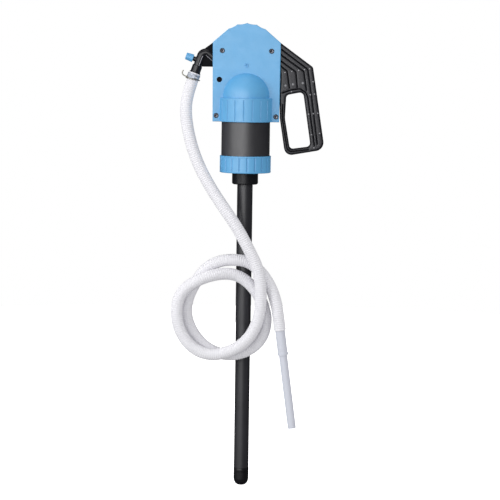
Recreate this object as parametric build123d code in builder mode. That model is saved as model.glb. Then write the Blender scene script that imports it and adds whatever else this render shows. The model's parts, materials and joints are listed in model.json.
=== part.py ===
"""Lever-action barrel pump: blue two-half head, drop handle, hooked spout, suction tube and delivery hose.

Frame: +Z up along the pump axis, origin on that axis at the upper end of the bung thread.
The front cover faces -Y, the handle points to +X and the spout to -X.  Millimetres throughout.
"""
from build123d import *
import os
from math import atan2, cos, degrees, pi, radians, sin, sqrt, tan

os.makedirs("parts", exist_ok=True)

# ---------------------------------------------------------------- driving dimensions
SLIP = 0.05                      # radial clearance of a running fit
GAP = 0.4                        # clearance between pieces that move past each other

# head covers
HEAD_HALF_TOP, HEAD_HALF_BOTTOM = 78.0, 76.7
HEAD_BOTTOM, HEAD_SHOULDER, HEAD_APEX = 119.6, 301.0, 345.4
FACE_Y, WALL, EDGE_WALL = 22.0, 3.5, 2.6   # outer face of each cover, its wall, its side walls
RING_R, RING_TOP = 64.0, 174.0
DOME_R, DOME_RISE = 57.5, 4.0    # the dome is a half sphere on a short straight part
FLUTES = 20

# barrel and what closes it
BARREL_R, BORE_R = 56.0, 51.5
BARREL_TOP, BARREL_FOOT = 138.0, 12.0
FLANGE_R = 58.0
NUT_R, NUT_FOOT, NUT_TOP = 59.4, 2.3, 41.4
BUNG_R, BUNG_LENGTH = 30.2, 25.0

# lever, pivot and piston rod
PIVOT_X, PIVOT_Z = -62.0, 216.0
LEVER_DROP = 20.8                # degrees below level when the handle is down
LEVER_HALF, CHEEK_IN = 16.0, 12.2
PIVOT_R, ROD_PIN_R, ROD_R = 6.25, 6.0, 7.0
POST_R, SCREW_R = 3.4, 2.0
SCREWS = [(-56, 282), (57, 282), (-68.6, 133.4), (68.8, 132)]
SEAT_DEPTH, SCREW_HEAD_R, SCREW_HEAD_H = 1.6, 5.4, 2.6
NUT_AF, NUT_H = 7.0, 3.2
ARM_HALF, PIVOT_BOSS_R = 12.0, 11.0

# suction side
TUBE_R, TUBE_BORE = 18.0, 13.5
LOWER_TUBE_R = 17.25
TUBE_JOINT, TUBE_END, FOOT_END = -348.0, -692.0, -733.4

# spout: flange centre, then the direction of its outer leg
FLANGE_X, FLANGE_Z = -118.1, 232.4
LEG_TILT = radians(19)
INNER_TILT = radians(49.6)
SPOUT_R, SPOUT_BORE = 9.5, 6.5
OUTLET_X = -36.0

# hose
HOSE_R = 14.0
NOZZLE_R = 9.5


def save(piece, label):
    """Label a finished piece and write its STEP."""
    piece.part.label = label
    export_step(piece.part, f"parts/{label}.step")


def ring_plane(z):
    return Plane.XY.offset(z)


def turned(points, label):
    """A turned piece: half profile of (radius, z) points revolved about the pump axis."""
    with BuildPart() as piece:
        with BuildSketch(Plane.XZ):
            with BuildLine():
                Polyline(*points, close=True)
            make_face()
        revolve(axis=Axis.Z)
    save(piece, label)
    return piece


def tube_points(inner, outer, low, high):
    return [(inner, low), (outer, low), (outer, high), (inner, high)]


# ---------------------------------------------------------------- head covers
CREST_R, CREST_STEP = 72.6, radians(17.6)   # the crest's five finger tips lie on this arc, this far apart
CREST_DIP_R = 50.0               # the shallow hollow between two tips


def crest_tip(count):
    """The finger tip that lies count steps from the middle of the crest."""
    turn = count * CREST_STEP
    return (CREST_R * sin(turn), HEAD_APEX - CREST_R * (1 - cos(turn)))


def head_outline():
    """Outline of a cover in the XZ plane: straight sides, sloped shoulders and a waved crest."""
    tips = [crest_tip(count) for count in (2, 1, 0, -1, -2)]
    Line((-HEAD_HALF_BOTTOM, HEAD_BOTTOM), (HEAD_HALF_BOTTOM, HEAD_BOTTOM))
    Line((HEAD_HALF_BOTTOM, HEAD_BOTTOM), (HEAD_HALF_TOP, HEAD_SHOULDER))
    Line((HEAD_HALF_TOP, HEAD_SHOULDER), tips[0])
    for start, end in zip(tips, tips[1:]):
        RadiusArc(start, end, CREST_DIP_R)
    Line(tips[-1], (-HEAD_HALF_TOP, HEAD_SHOULDER))
    Line((-HEAD_HALF_TOP, HEAD_SHOULDER), (-HEAD_HALF_BOTTOM, HEAD_BOTTOM))


LEFT_WALL_TOP = 233.0            # the spout leaves above it
RIGHT_WALL_TOP = 140.0           # the lever leaves above it
LIP_TOP, CAPTURE_TOP = 124.0, 146.0   # the groove that grips the barrel's flange and the cylinder head
RIM_ROUND, RING_ROUND = 1.6, 1.4
FLUTE_R, FLUTE_START = 1.7, -94.5     # scallops round the ring, the first angle in degrees
FLUTE_FOOT, FLUTE_HEAD = 3.0, 4.5     # how far they stay from the ring's two ends
STUD_R, STUD_Z = 4.8, 249.0           # moulding stud above the dome
STUD_LIP, STUD_HEIGHT, TIP_HEIGHT = 1.4, 0.7, 1.5
OPEN_X, OPEN_Z = 100.0, 400.0    # past the outline on the open sides


def dome_lines(radius, base_radius, base, ring_height):
    """Half profile of the dome on its ring, for a revolve."""
    Line((0, base), (base_radius - RING_ROUND, base))
    RadiusArc((base_radius - RING_ROUND, base), (base_radius, base + RING_ROUND), -RING_ROUND)
    Line((base_radius, base + RING_ROUND), (base_radius, ring_height - RING_ROUND))
    RadiusArc((base_radius, ring_height - RING_ROUND), (base_radius - RING_ROUND, ring_height), -RING_ROUND)
    Line((base_radius - RING_ROUND, ring_height), (radius, ring_height))
    Line((radius, ring_height), (radius, ring_height + DOME_RISE))
    RadiusArc((radius, ring_height + DOME_RISE), (0, ring_height + DOME_RISE + radius), -radius)
    Line((0, ring_height + DOME_RISE + radius), (0, base))


def make_cover():
    """The front cover; the rear cover is its mirror."""
    with BuildPart() as cover:
        with BuildSketch(Plane.XZ):
            with BuildLine():
                head_outline()
            make_face()
        extrude(amount=FACE_Y)
        rim = cover.faces().sort_by(Axis.Y)[0].edges()
        fillet(rim, RIM_ROUND)
        with BuildSketch(Plane.XZ):
            with BuildLine():
                dome_lines(DOME_R, RING_R, HEAD_BOTTOM, RING_TOP)
            make_face()
        revolve(axis=Axis.Z)
        with BuildSketch(ring_plane(HEAD_BOTTOM + FLUTE_FOOT)):
            with PolarLocations(RING_R + 0.5, FLUTES, start_angle=FLUTE_START):
                Circle(FLUTE_R)
        extrude(amount=RING_TOP - HEAD_BOTTOM - FLUTE_FOOT - FLUTE_HEAD, mode=Mode.SUBTRACT)
        # the fin's hollow, open at the crest, at the spout and at the lever
        with BuildSketch(Plane.XZ):
            with BuildLine():
                Polyline(
                    (-HEAD_HALF_BOTTOM + EDGE_WALL, HEAD_BOTTOM + WALL),
                    (HEAD_HALF_BOTTOM - EDGE_WALL, HEAD_BOTTOM + WALL),
                    (HEAD_HALF_BOTTOM - EDGE_WALL, RIGHT_WALL_TOP),
                    (OPEN_X, RIGHT_WALL_TOP),
                    (OPEN_X, OPEN_Z),
                    (-OPEN_X, OPEN_Z),
                    (-OPEN_X, LEFT_WALL_TOP),
                    (-HEAD_HALF_BOTTOM + EDGE_WALL, LEFT_WALL_TOP),
                    close=True,
                )
            make_face()
        extrude(amount=FACE_Y - WALL, mode=Mode.SUBTRACT)
        # the hollow of the ring and dome, with the groove that holds the barrel and its head
        with BuildSketch(Plane.XZ):
            with BuildLine():
                Line((0, 0), (BARREL_R, 0))
                Line((BARREL_R, 0), (BARREL_R, LIP_TOP))
                Line((BARREL_R, LIP_TOP), (FLANGE_R, LIP_TOP))
                Line((FLANGE_R, LIP_TOP), (FLANGE_R, CAPTURE_TOP))
                Line((FLANGE_R, CAPTURE_TOP), (DOME_R - WALL, CAPTURE_TOP))
                Line((DOME_R - WALL, CAPTURE_TOP), (DOME_R - WALL, RING_TOP + DOME_RISE))
                RadiusArc(
                    (DOME_R - WALL, RING_TOP + DOME_RISE),
                    (0, RING_TOP + DOME_RISE + DOME_R - WALL),
                    WALL - DOME_R,
                )
                Line((0, RING_TOP + DOME_RISE + DOME_R - WALL), (0, 0))
            make_face()
        revolve(axis=Axis.Z, mode=Mode.SUBTRACT)
        split(bisect_by=Plane.XZ, keep=Keep.TOP)
        # screw posts, pivot boss and the small moulded stud
        with BuildSketch(Plane.XZ):
            with Locations(*SCREWS):
                Circle(POST_R)
        extrude(amount=FACE_Y - 1)
        with BuildSketch(Plane.XZ.offset(LEVER_HALF + GAP)):
            with Locations((PIVOT_X, PIVOT_Z)):
                Circle(PIVOT_BOSS_R)
        extrude(amount=FACE_Y - 1 - LEVER_HALF - GAP)
        with BuildSketch(Plane.XZ.offset(FACE_Y - 0.5)):
            with Locations((0, STUD_Z)):
                Circle(STUD_R)
                Circle(STUD_R - STUD_LIP, mode=Mode.SUBTRACT)
        extrude(amount=0.5 + STUD_HEIGHT, taper=20)
        with BuildSketch(Plane.XZ.offset(FACE_Y - 0.5)):
            with Locations((0, STUD_Z)):
                Circle(STUD_LIP)
        extrude(amount=0.5 + TIP_HEIGHT, taper=20)
        # seats of the screw heads, screw holes and the pivot hole
        with BuildSketch(Plane.XZ.offset(FACE_Y - SEAT_DEPTH)):
            with Locations(*SCREWS):
                Circle(SCREW_HEAD_R + 0.7)
        extrude(amount=SEAT_DEPTH, mode=Mode.SUBTRACT)
        with BuildSketch(Plane.XZ):
            with Locations(*SCREWS):
                Circle(SCREW_R)
            with Locations((PIVOT_X, PIVOT_Z)):
                Circle(PIVOT_R)
        extrude(amount=FACE_Y + 1, mode=Mode.SUBTRACT)
    return cover


front = make_cover()
save(front, "front_cover")
with BuildPart() as rear:
    add(mirror(front.part, about=Plane.XZ))
save(rear, "rear_cover")

# ---------------------------------------------------------------- cover screws and nuts
SOCKET_R, SOCKET_DEPTH = 2.4, 1.9
THREAD_OUT = 3.0                 # how far the screws stand out of the rear cover
with BuildPart() as screws:
    with BuildSketch(Plane.XZ.offset(FACE_Y - SEAT_DEPTH)):
        with Locations(*SCREWS):
            Circle(SCREW_HEAD_R)
    extrude(amount=SCREW_HEAD_H)
    fillet(screws.faces().filter_by(Axis.Y).group_by(Axis.Y)[0].edges(), 0.8)
    with BuildSketch(Plane.XZ.offset(FACE_Y - SEAT_DEPTH + SCREW_HEAD_H)):
        with Locations(*SCREWS):
            RegularPolygon(SOCKET_R, 6)
    extrude(amount=-SOCKET_DEPTH, mode=Mode.SUBTRACT)
    with BuildSketch(Plane.XZ.offset(-FACE_Y - THREAD_OUT)):
        with Locations(*SCREWS):
            Circle(SCREW_R)
    extrude(amount=2 * FACE_Y + THREAD_OUT - SEAT_DEPTH)
save(screws, "cover_screws")

with BuildPart() as nuts:
    with BuildSketch(Plane.XZ.offset(SEAT_DEPTH - FACE_Y)):
        with Locations(*SCREWS):
            RegularPolygon(NUT_AF / 2, 6, major_radius=False)
            Circle(SCREW_R, mode=Mode.SUBTRACT)
    extrude(amount=-NUT_H)
save(nuts, "cover_nuts")

# ---------------------------------------------------------------- pivot pins
PIN_TIP = CHEEK_IN + 0.2
with BuildPart() as pivot_pins:
    for side in (1, -1):
        with BuildSketch(Plane.XZ.offset(side * PIN_TIP)):
            with Locations((PIVOT_X, PIVOT_Z)):
                Circle(PIVOT_R)
        extrude(amount=side * (FACE_Y - 0.8 - PIN_TIP))
        with BuildSketch(Plane.XZ.offset(side * (FACE_Y - 0.8))):
            with Locations((PIVOT_X, PIVOT_Z)):
                Circle(3.6)
        extrude(amount=-side * 4, mode=Mode.SUBTRACT)
save(pivot_pins, "pivot_pins")

# ---------------------------------------------------------------- barrel and its two ends
turned(
    [(BORE_R, BARREL_FOOT), (BARREL_R, BARREL_FOOT), (BARREL_R, LIP_TOP), (FLANGE_R, LIP_TOP),
     (FLANGE_R, LIP_TOP + 8), (BARREL_R, LIP_TOP + 8), (BARREL_R, BARREL_TOP), (BORE_R, BARREL_TOP)],
    "barrel",
)

HUB_R, HUB_TOP = 22.0, 156.0
ROD_HOLE, BUSH_R = ROD_R + SLIP, ROD_R + 1.5
HEAD_FLOOR, BUSH_TOP, SEAL_TOP = 128.0, 142.0, 149.0
GLAND_R = 13.0
O_RING_Z, O_RING_R = 133.0, 1.5
OUTLET_BOSS_R, OUTLET_CASE_R, OUTLET_SOCKET = 15.0, SPOUT_R + 2.2, 7.0
with BuildPart() as head:
    with BuildSketch(Plane.XZ):
        with BuildLine():
            Polyline(
                (BUSH_R, HEAD_FLOOR), (BORE_R - 0.2, HEAD_FLOOR), (BORE_R - 0.2, BARREL_TOP),
                (FLANGE_R, BARREL_TOP), (FLANGE_R, CAPTURE_TOP), (HUB_R, CAPTURE_TOP),
                (HUB_R, HUB_TOP), (GLAND_R, HUB_TOP), (GLAND_R, BUSH_TOP), (BUSH_R, BUSH_TOP),
                close=True,
            )
        make_face()
    revolve(axis=Axis.Z)
    with BuildSketch(ring_plane(CAPTURE_TOP - 1)):
        with Locations((OUTLET_X, 0)):
            Circle(OUTLET_BOSS_R)
    extrude(amount=HUB_TOP - CAPTURE_TOP + 1)
    with BuildSketch(ring_plane(HEAD_FLOOR)):
        with Locations((OUTLET_X, 0)):
            Circle(SPOUT_BORE)
    extrude(amount=HUB_TOP - HEAD_FLOOR, mode=Mode.SUBTRACT)
    with BuildSketch(ring_plane(HUB_TOP)):
        with Locations((OUTLET_X, 0)):
            Circle(OUTLET_CASE_R)
    extrude(amount=-OUTLET_SOCKET, mode=Mode.SUBTRACT)
    # O-ring groove round the plug
    with BuildSketch(Plane.XZ):
        with Locations((BORE_R - O_RING_R, O_RING_Z)):
            Rectangle(2 * O_RING_R, 2 * O_RING_R + 0.2)
    revolve(axis=Axis.Z, mode=Mode.SUBTRACT)
save(head, "cylinder_head")

with BuildPart() as head_seal:
    with BuildSketch(Plane.XZ):
        with Locations((BORE_R - O_RING_R, O_RING_Z)):
            Circle(O_RING_R)
    revolve(axis=Axis.Z)
save(head_seal, "head_o_ring")

turned(tube_points(ROD_HOLE, BUSH_R, HEAD_FLOOR, BUSH_TOP), "rod_guide_bush")
turned(
    [(ROD_HOLE, BUSH_TOP), (GLAND_R, BUSH_TOP), (GLAND_R, SEAL_TOP), (GLAND_R - 2, SEAL_TOP),
     (GLAND_R - 3.5, BUSH_TOP + 2.5), (ROD_HOLE, SEAL_TOP)],
    "rod_seal",
)
GLAND_TOP = 162.0
with BuildPart() as gland_nut:
    with BuildSketch(ring_plane(HUB_TOP)):
        RegularPolygon(16, 6, major_radius=False)
    extrude(amount=GLAND_TOP - HUB_TOP)
    with BuildSketch(ring_plane(HUB_TOP)):
        Circle(GLAND_R)
    extrude(amount=SEAL_TOP - HUB_TOP)
    with BuildSketch(ring_plane(SEAL_TOP)):
        Circle(ROD_R + 0.3)
    extrude(amount=GLAND_TOP - SEAL_TOP, mode=Mode.SUBTRACT)
save(gland_nut, "gland_nut")

# fluted clamp nut that screws over the foot of the barrel
NUT_FLUTES, NUT_FLUTE_START = 20, -85.6
NUT_FLOOR, NUT_ROUND = 6.0, 1.8
NUT_PLAIN = 5.0                  # plain lip above and below the flutes
with BuildPart() as barrel_nut:
    with BuildSketch(ring_plane(NUT_FOOT)):
        Circle(NUT_R)
    extrude(amount=NUT_TOP - NUT_FOOT)
    fillet(barrel_nut.faces().filter_by(Axis.Z).edges(), NUT_ROUND)
    with BuildSketch(ring_plane(NUT_FOOT + NUT_PLAIN)):
        with PolarLocations(NUT_R + 0.5, NUT_FLUTES, start_angle=NUT_FLUTE_START):
            Circle(FLUTE_R)
    extrude(amount=NUT_TOP - NUT_FOOT - 2 * NUT_PLAIN, mode=Mode.SUBTRACT)
    with BuildSketch(ring_plane(NUT_FLOOR)):
        Circle(BARREL_R)
    extrude(amount=NUT_TOP - NUT_FLOOR, mode=Mode.SUBTRACT)
    with BuildSketch(ring_plane(NUT_FOOT)):
        Circle(BUNG_R + 1)
    extrude(amount=NUT_FLOOR - NUT_FOOT, mode=Mode.SUBTRACT)
save(barrel_nut, "barrel_nut")

BUNG_FLANGE_R, BUNG_FLANGE_TOP = 52.0, 10.0
with BuildPart() as bung:
    with BuildSketch(Plane.XZ):
        with BuildLine():
            Polyline(
                (TUBE_R, -BUNG_LENGTH), (BUNG_R - 2.5, -BUNG_LENGTH), (BUNG_R, 2.5 - BUNG_LENGTH),
                (BUNG_R, NUT_FLOOR), (BUNG_FLANGE_R, NUT_FLOOR), (BUNG_FLANGE_R, BUNG_FLANGE_TOP),
                (TUBE_BORE, BUNG_FLANGE_TOP), (TUBE_BORE, 5), (TUBE_R, 5),
                close=True,
            )
        make_face()
    revolve(axis=Axis.Z)
save(bung, "bung_adapter")
turned(tube_points(42, BARREL_R - 0.5, BUNG_FLANGE_TOP, BARREL_FOOT), "barrel_gasket")

# ---------------------------------------------------------------- suction tube, joint sleeve and foot
turned(tube_points(TUBE_BORE, TUBE_R, TUBE_JOINT, 5), "suction_tube_upper")
turned(tube_points(TUBE_BORE, LOWER_TUBE_R, TUBE_END, TUBE_JOINT), "suction_tube_lower")
turned(tube_points(11.5, TUBE_BORE, TUBE_JOINT - 30, TUBE_JOINT + 30), "tube_joint_sleeve")

FOOT_R, FOOT_WALL = 17.8, 2.5
FOOT_TIP_R, FOOT_ROUND = 6.0, 15.5      # flat end of the foot, height of its rounded shoulder
FOOT_BULGE_R = 26.0
SLOT_ROWS, SLOTS, ROW_PITCH = 5, 12, 4.2
with BuildPart() as foot:
    with BuildSketch(Plane.XZ):
        with BuildLine():
            Line((0, FOOT_END), (0, FOOT_END + FOOT_WALL))
            Line((0, FOOT_END + FOOT_WALL), (FOOT_TIP_R - 1, FOOT_END + FOOT_WALL))
            Line((FOOT_TIP_R - 1, FOOT_END + FOOT_WALL), (FOOT_R - FOOT_WALL, FOOT_END + FOOT_ROUND))
            Line((FOOT_R - FOOT_WALL, FOOT_END + FOOT_ROUND), (FOOT_R - FOOT_WALL, TUBE_END))
            Line((FOOT_R - FOOT_WALL, TUBE_END), (FOOT_R, TUBE_END))
            Line((FOOT_R, TUBE_END), (FOOT_R, FOOT_END + FOOT_ROUND))
            RadiusArc((FOOT_R, FOOT_END + FOOT_ROUND), (FOOT_TIP_R, FOOT_END), FOOT_BULGE_R)
            Line((FOOT_TIP_R, FOOT_END), (0, FOOT_END))
        make_face()
    revolve(axis=Axis.Z)
    for row in range(SLOT_ROWS):
        with BuildSketch(ring_plane(TUBE_END - 5 - ROW_PITCH * row)):
            with PolarLocations(FOOT_R, SLOTS, start_angle=15 * (row % 2)):
                Rectangle(8, 5.2)
        extrude(amount=-2.2, mode=Mode.SUBTRACT)
save(foot, "foot_strainer")

# foot valve: a seat pressed in the tube, a disc that lifts off it and a guide cage above
SEAT_TOP = TUBE_END + 8
turned(tube_points(7, TUBE_BORE, SEAT_TOP - 6, SEAT_TOP), "foot_valve_seat")
turned(
    [(0, SEAT_TOP), (10.5, SEAT_TOP), (10.5, SEAT_TOP + 3), (2.4, SEAT_TOP + 3),
     (2.4, SEAT_TOP + 22), (0, SEAT_TOP + 22)],
    "foot_valve_disc",
)
with BuildPart() as cage:
    with BuildSketch(ring_plane(SEAT_TOP)):
        Circle(TUBE_BORE)
        Circle(TUBE_BORE - 1.6, mode=Mode.SUBTRACT)
    extrude(amount=14)
    with BuildSketch(ring_plane(SEAT_TOP + 10)):
        Circle(4.6)
        Rectangle(2 * TUBE_BORE - 2, 3)
        Rectangle(3, 2 * TUBE_BORE - 2)
        Circle(2.4 + SLIP, mode=Mode.SUBTRACT)
    extrude(amount=4)
save(cage, "foot_valve_cage")

# ---------------------------------------------------------------- piston rod and piston
LEVER_LOW_PIN_Z = PIVOT_Z + PIVOT_X * tan(radians(LEVER_DROP))
STROKE = -2 * PIVOT_X * tan(radians(LEVER_DROP))
PISTON_TOP, PISTON_H = 70.0, 18.0
EYE_R, EYE_HALF = 11.0, 11.6
with BuildPart() as rod:
    with BuildSketch(ring_plane(PISTON_TOP - PISTON_H - 9)):
        Circle(5)
    extrude(amount=PISTON_H + 9)
    with BuildSketch(ring_plane(PISTON_TOP)):
        Circle(ROD_R)
    extrude(amount=LEVER_LOW_PIN_Z - PISTON_TOP)
    with BuildSketch(Plane.XZ):
        with Locations((0, LEVER_LOW_PIN_Z)):
            Circle(EYE_R)
    extrude(amount=EYE_HALF, both=True)
    with BuildSketch(Plane.XZ):
        with Locations((0, LEVER_LOW_PIN_Z)):
            Circle(ROD_PIN_R)
    extrude(amount=EYE_HALF, both=True, mode=Mode.SUBTRACT)
save(rod, "piston_rod")

with BuildPart() as rod_pin:
    with BuildSketch(Plane.XZ):
        with Locations((0, LEVER_LOW_PIN_Z)):
            Circle(ROD_PIN_R)
    extrude(amount=17.9, both=True)
save(rod_pin, "rod_pin")

with BuildPart() as clips:
    for side in (1, -1):
        with BuildSketch(Plane.XZ.offset(side * (LEVER_HALF + GAP))):
            with Locations((0, LEVER_LOW_PIN_Z)):
                Circle(9)
                Circle(ROD_PIN_R, mode=Mode.SUBTRACT)
        extrude(amount=side * 1.0)
save(clips, "rod_pin_clips")

PISTON_R = BORE_R - 0.5
PORTS, PORT_R, PORT_PCD = 6, 4.5, 25.0
with BuildPart() as piston:
    with BuildSketch(ring_plane(PISTON_TOP)):
        Circle(PISTON_R)
        Circle(5, mode=Mode.SUBTRACT)
        with PolarLocations(PORT_PCD, PORTS):
            Circle(PORT_R, mode=Mode.SUBTRACT)
    extrude(amount=-PISTON_H)
    # groove for the cup seal
    with BuildSketch(Plane.XZ):
        with Locations((PISTON_R - 2, PISTON_TOP - 8)):
            Rectangle(4, 8)
    revolve(axis=Axis.Z, mode=Mode.SUBTRACT)
save(piston, "piston")
turned(
    [(PISTON_R - 4, PISTON_TOP - 12), (PISTON_R - 0.5, PISTON_TOP - 12), (BORE_R - SLIP, PISTON_TOP - 4),
     (PISTON_R - 2, PISTON_TOP - 4), (PISTON_R - 3, PISTON_TOP - 9), (PISTON_R - 4, PISTON_TOP - 9)],
    "piston_cup_seal",
)
DISC_LIFT = 3.0
turned(tube_points(ROD_R + 4 + SLIP, 34, PISTON_TOP, PISTON_TOP + 2.5), "piston_valve_disc")
turned(
    [(ROD_R, PISTON_TOP), (ROD_R + 4, PISTON_TOP), (ROD_R + 4, PISTON_TOP + 2.5 + DISC_LIFT + GAP),
     (16, PISTON_TOP + 2.5 + DISC_LIFT + GAP), (16, PISTON_TOP + 9), (ROD_R, PISTON_TOP + 9)],
    "valve_stop_collar",
)
with BuildPart() as piston_nut:
    with BuildSketch(ring_plane(PISTON_TOP - PISTON_H)):
        RegularPolygon(8.5, 6, major_radius=False)
        Circle(5, mode=Mode.SUBTRACT)
    extrude(amount=-8)
save(piston_nut, "piston_nut")

# ---------------------------------------------------------------- lever with its hand grip
LEVER_ROOT_R = 140.0             # the grip starts beyond this radius, clear of the upper screw post
ROOT_X, ROOT_TOP = 52.0, 320.0   # inner end of the grip's top edge
FORK_R = 86.0                    # inside this radius the arm is a fork of two cheeks
GRIP = [(152.8, 247), (182.7, 58), (92, 42), (78.4, 128), (78.4, 196)]
HOLE = [(92.3, 182.2), (131.6, 190), (150.6, 64.3), (102.6, 57.4), (90, 129)]
GROOVE_W, GROOVE_D = 2.7, 1.8
GROOVES = [
    [(60, 300.4), (141, 241.6), (151, 178), (165.5, 71)],
    [(60, 287), (131.8, 236.6), (138.4, 194)],
    [(70, 266), (113.4, 235.4), (117.4, 199.5)],
    [(74, 251), (93.4, 237), (99.5, 198.5)],
    [(84.4, 187), (103, 194.2), (124, 197), (137.6, 188), (142.4, 176), (159.1, 67.7)],
]


def arm_point(distance, offset):
    """A point at a distance along the arm from the pivot, offset square to it (up is positive)."""
    drop = radians(LEVER_DROP)
    return (PIVOT_X + distance * cos(drop) + offset * sin(drop),
            PIVOT_Z - distance * sin(drop) + offset * cos(drop))


with BuildPart() as lever:
    # the grip: everything beyond the root radius
    with BuildSketch(Plane.XZ):
        with BuildLine():
            Polyline((ROOT_X, ROOT_TOP), *GRIP, (ROOT_X, GRIP[-1][1]), close=True)
        make_face()
        fillet(vertices().sort_by_distance(GRIP[0])[0], 9)
        fillet(vertices().sort_by_distance(GRIP[1])[0], 20)
        fillet(vertices().sort_by_distance(GRIP[2])[0], 15)
        with Locations((PIVOT_X, PIVOT_Z)):
            Circle(LEVER_ROOT_R, mode=Mode.SUBTRACT)
    extrude(amount=LEVER_HALF, both=True)
    # the arm: a bar from the pivot boss to the grip
    with BuildSketch(Plane.XZ):
        with BuildLine():
            Polyline(
                arm_point(0, ARM_HALF), arm_point(152, ARM_HALF),
                arm_point(152, -ARM_HALF), arm_point(0, -ARM_HALF), close=True,
            )
        make_face()
        with Locations((PIVOT_X, PIVOT_Z)):
            Circle(PIVOT_BOSS_R)
    extrude(amount=LEVER_HALF, both=True)
    # hand hole
    with BuildSketch(Plane.XZ):
        with BuildLine():
            Polyline(*HOLE, close=True)
        make_face()
        fillet(vertices().sort_by_distance(HOLE[0])[0], 9)
        fillet(vertices().sort_by_distance(HOLE[1])[0], 9)
        fillet(vertices().sort_by_distance(HOLE[2])[0], 9)
        fillet(vertices().sort_by_distance(HOLE[3])[0], 8)
    extrude(amount=LEVER_HALF, both=True, mode=Mode.SUBTRACT)
    # fork, pivot holes and rod-pin slots
    with BuildSketch(Plane.XZ):
        with Locations((PIVOT_X, PIVOT_Z)):
            Circle(FORK_R)
    extrude(amount=CHEEK_IN, both=True, mode=Mode.SUBTRACT)
    with BuildSketch(Plane.XZ):
        with Locations((PIVOT_X, PIVOT_Z)):
            Circle(PIVOT_R + 2)
        with Locations(Location((*arm_point(64.2, 0), 0), (0, 0, -LEVER_DROP))):
            SlotCenterToCenter(6.4, 2 * ROD_PIN_R + 1.2)
    extrude(amount=LEVER_HALF, both=True, mode=Mode.SUBTRACT)
    # grooves on both faces of the grip
    for side in (1, -1):
        for route in GROOVES:
            with BuildSketch(Plane.XZ.offset(side * LEVER_HALF)):
                with BuildLine():
                    Polyline(*route)
                trace(line_width=GROOVE_W)
            extrude(amount=-side * GROOVE_D, mode=Mode.SUBTRACT)
save(lever, "lever")

with BuildPart() as bushes:
    for side in (1, -1):
        with BuildSketch(Plane.XZ.offset(side * CHEEK_IN)):
            with Locations((PIVOT_X, PIVOT_Z)):
                Circle(PIVOT_R + 2)
                Circle(PIVOT_R + SLIP, mode=Mode.SUBTRACT)
        extrude(amount=side * (LEVER_HALF - CHEEK_IN))
save(bushes, "lever_bushes")

# ---------------------------------------------------------------- spout
LEG = Vector(sin(LEG_TILT), 0, cos(LEG_TILT))            # up the outer leg
INNER = Vector(-sin(INNER_TILT), 0, cos(INNER_TILT))     # up the inner leg
OUTWARD = Vector(-cos(LEG_TILT), 0, sin(LEG_TILT))       # from the leg towards the vent knob
FLANGE = Vector(FLANGE_X, 0, FLANGE_Z)


def leg_point(distance, out=0.0):
    """A point up the outer leg from the stop flange, and out to the side of the vent knob."""
    return FLANGE + LEG * distance + OUTWARD * out


def leg_plane(distance):
    return Plane(origin=leg_point(distance), z_dir=LEG)


SPOUT_FOOT = 149.0
ENTRY = Vector(-78, 0, 267)    # where the inner leg leaves the covers
INNER_BEND_R, CROWN_R = 24.0, 11.0
SLEEVE_R, SLEEVE_LENGTH = 11.4, 15.0
STOP_R, STOP_LENGTH = 12.8, 3.0
BARB_R, BARBS, BARB_PITCH = 10.2, 3, 7.5
WEB_HALF, WEB_ROOT_HALF = 4.0, 5.2
NECK_R = 5.0
VENT, VENT_BORE = 27.5, 2.2      # how far up the leg the vent stands, its bore's radius
inner_foot = ENTRY - INNER * ((OUTLET_X - ENTRY.X) / sin(INNER_TILT))
crown_distance = (
    (ENTRY.X - FLANGE_X) * cos(INNER_TILT) + (ENTRY.Z - FLANGE_Z) * sin(INNER_TILT)
) / sin(LEG_TILT + INNER_TILT)
crown = leg_point(crown_distance)
BARB_END = -27.0
with BuildPart() as spout:
    with BuildLine():
        FilletPolyline(
            Vector(OUTLET_X, 0, SPOUT_FOOT), inner_foot, crown, leg_point(BARB_END),
            radius=(INNER_BEND_R, CROWN_R),
        )
    with BuildSketch(ring_plane(SPOUT_FOOT)):
        with Locations((OUTLET_X, 0)):
            Circle(SPOUT_R)
    sweep()
    # flat web that fills the bend and runs into the covers
    with BuildSketch(Plane.XZ):
        with BuildLine():
            Polyline(
                (-64, 243.5), (-64, 310.5), (-75.7, 302.1), (-104, 281.1), (-104, 262), (-104, 243.5),
                close=True,
            )
        make_face()
    extrude(amount=WEB_HALF, both=True)
    with BuildSketch(Plane.XZ):
        with BuildLine():
            Polyline((-64, 243.5), (-64, 310.5), (-75.7, 302.1), (-88, 293), (-88, 243.5), close=True)
        make_face()
    extrude(amount=WEB_ROOT_HALF, both=True)
    # sleeve, stop flange and hose barb
    with BuildSketch(leg_plane(0)):
        Circle(SLEEVE_R)
    extrude(amount=SLEEVE_LENGTH)
    with BuildSketch(leg_plane(-STOP_LENGTH)):
        Circle(STOP_R)
    extrude(amount=STOP_LENGTH)
    for step in range(BARBS):
        with BuildSketch(leg_plane(-STOP_LENGTH - 1 - BARB_PITCH * step)):
            Circle(BARB_R)
        extrude(amount=-BARB_PITCH + 1.5, taper=8)
    with BuildSketch(Plane(origin=leg_point(VENT, 6), z_dir=OUTWARD)):
        Circle(NECK_R)
    extrude(amount=9.2)
    # the bore, and the vent bore in its neck
    with BuildLine():
        FilletPolyline(
            Vector(OUTLET_X, 0, SPOUT_FOOT), inner_foot, crown, leg_point(BARB_END),
            radius=(INNER_BEND_R, CROWN_R),
        )
    with BuildSketch(ring_plane(SPOUT_FOOT)):
        with Locations((OUTLET_X, 0)):
            Circle(SPOUT_BORE)
    sweep(mode=Mode.SUBTRACT)
    with BuildSketch(Plane(origin=leg_point(VENT), z_dir=OUTWARD)):
        Circle(VENT_BORE)
    extrude(amount=20, mode=Mode.SUBTRACT)
save(spout, "outlet_spout")

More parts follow.
